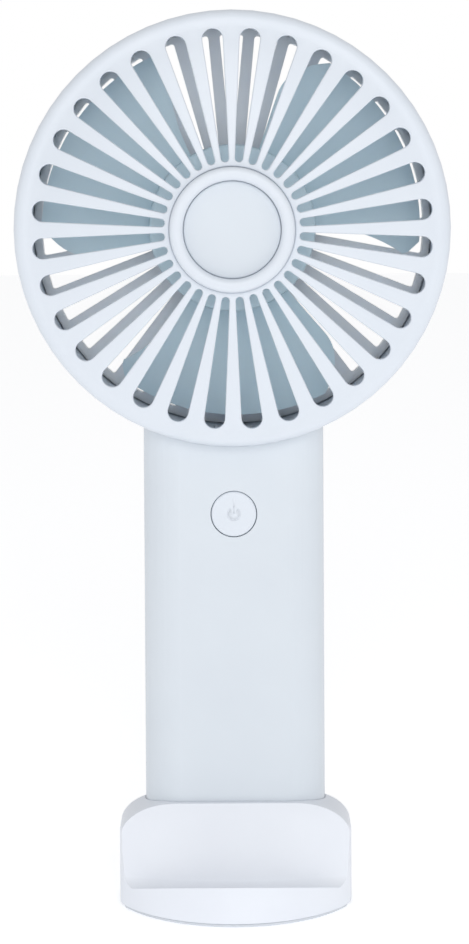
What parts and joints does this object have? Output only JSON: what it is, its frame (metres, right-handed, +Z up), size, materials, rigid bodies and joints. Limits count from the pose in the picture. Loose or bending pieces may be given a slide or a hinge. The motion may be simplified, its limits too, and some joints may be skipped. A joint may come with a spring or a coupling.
{
  "type": "handheld electric fan",
  "caption": "Handheld rechargeable fan with a round slotted grille, flat handle and push button, standing in a small base that holds a phone.",
  "frame": {"origin": "on the floor, at the base's underside, under the handle's own axis", "axes": "+Z up along the handle, -Y the front that blows air, +X to the right as seen from the front"},
  "size_m": [0.1, 0.0488, 0.2062],
  "materials": {
    "base_plastic": "fine moulded white",
    "foot_rubber": "matte",
    "shell_plastic": "satin moulded white",
    "button_plastic": "satin",
    "impeller_plastic": "satin pale blue",
    "steel": "zinc plated",
    "copper_wire": "enamelled",
    "iron_core": "laminated",
    "magnet": "matte",
    "brass": "machined",
    "nickel_plate": "nickel plated",
    "circuit_board": "solder mask",
    "cell_wrap": "shrink wrap",
    "foam": "open cell",
    "lead_red": "insulation",
    "lead_black": "insulation",
    "connector_plastic": "moulded",
    "dark_plastic": "moulded"
  },
  "bodies": {
    "base": {"base_body": "base_plastic", "base_plate": "base_plastic", "foot_pad": "foot_rubber", "base_screw_left": "steel", "base_screw_right": "steel"},
    "handle": {"handle_front_shell": "shell_plastic", "handle_rear_shell": "shell_plastic", "handle_screw_1": "steel", "handle_screw_2": "steel", "handle_screw_3": "steel", "handle_screw_4": "steel", "battery_cell": "cell_wrap", "battery_tab_minus": "nickel_plate", "battery_tab_plus": "nickel_plate", "battery_pad_left": "foam", "battery_pad_right": "foam", "tact_switch": "dark_plastic", "control_board": "circuit_board", "board_screw_left": "steel", "board_screw_right": "steel", "charge_chip": "dark_plastic", "control_chip": "dark_plastic", "inductor": "iron_core", "battery_connector": "connector_plastic", "motor_connector": "connector_plastic", "usb_socket": "nickel_plate", "usb_tongue": "dark_plastic", "battery_lead_red": "lead_red", "battery_lead_black": "lead_black", "front_grille": "shell_plastic", "centre_ring": "shell_plastic", "centre_disc": "shell_plastic", "head_housing": "shell_plastic", "rear_grille": "shell_plastic", "motor_seat": "nickel_plate", "bearing_sleeve": "brass", "motor_screw_1": "steel", "motor_screw_2": "steel", "motor_screw_3": "steel", "stator_core": "iron_core", "coil_1": "copper_wire", "coil_2": "copper_wire", "coil_3": "copper_wire", "coil_4": "copper_wire", "coil_5": "copper_wire", "coil_6": "copper_wire", "motor_board": "circuit_board", "motor_lead_red": "lead_red", "motor_lead_black": "lead_black"},
    "rotor": {"impeller": "impeller_plastic", "rotor_can": "steel", "magnet_ring": "magnet", "hub_bush": "brass", "motor_shaft": "steel"},
    "button": {"button_cap": "button_plastic", "switch_plunger": "dark_plastic"}
  },
  "joints": [
    {"name": "fan_lift", "type": "slide", "parent": "base", "child": "handle", "axis": [0, 0, 1], "range_m": [0, 0.03]},
    {"name": "impeller_spin", "type": "hinge", "parent": "handle", "child": "rotor", "pos_m": [0, 0, 0.1562], "axis": [0, 1, 0], "continuous": true},
    {"name": "button_press", "type": "slide", "parent": "handle", "child": "button", "axis": [0, 1, 0], "range_m": [0, 0.0006], "stiffness_N_per_m": 2500, "springref_m": -0.0001}
  ]
}
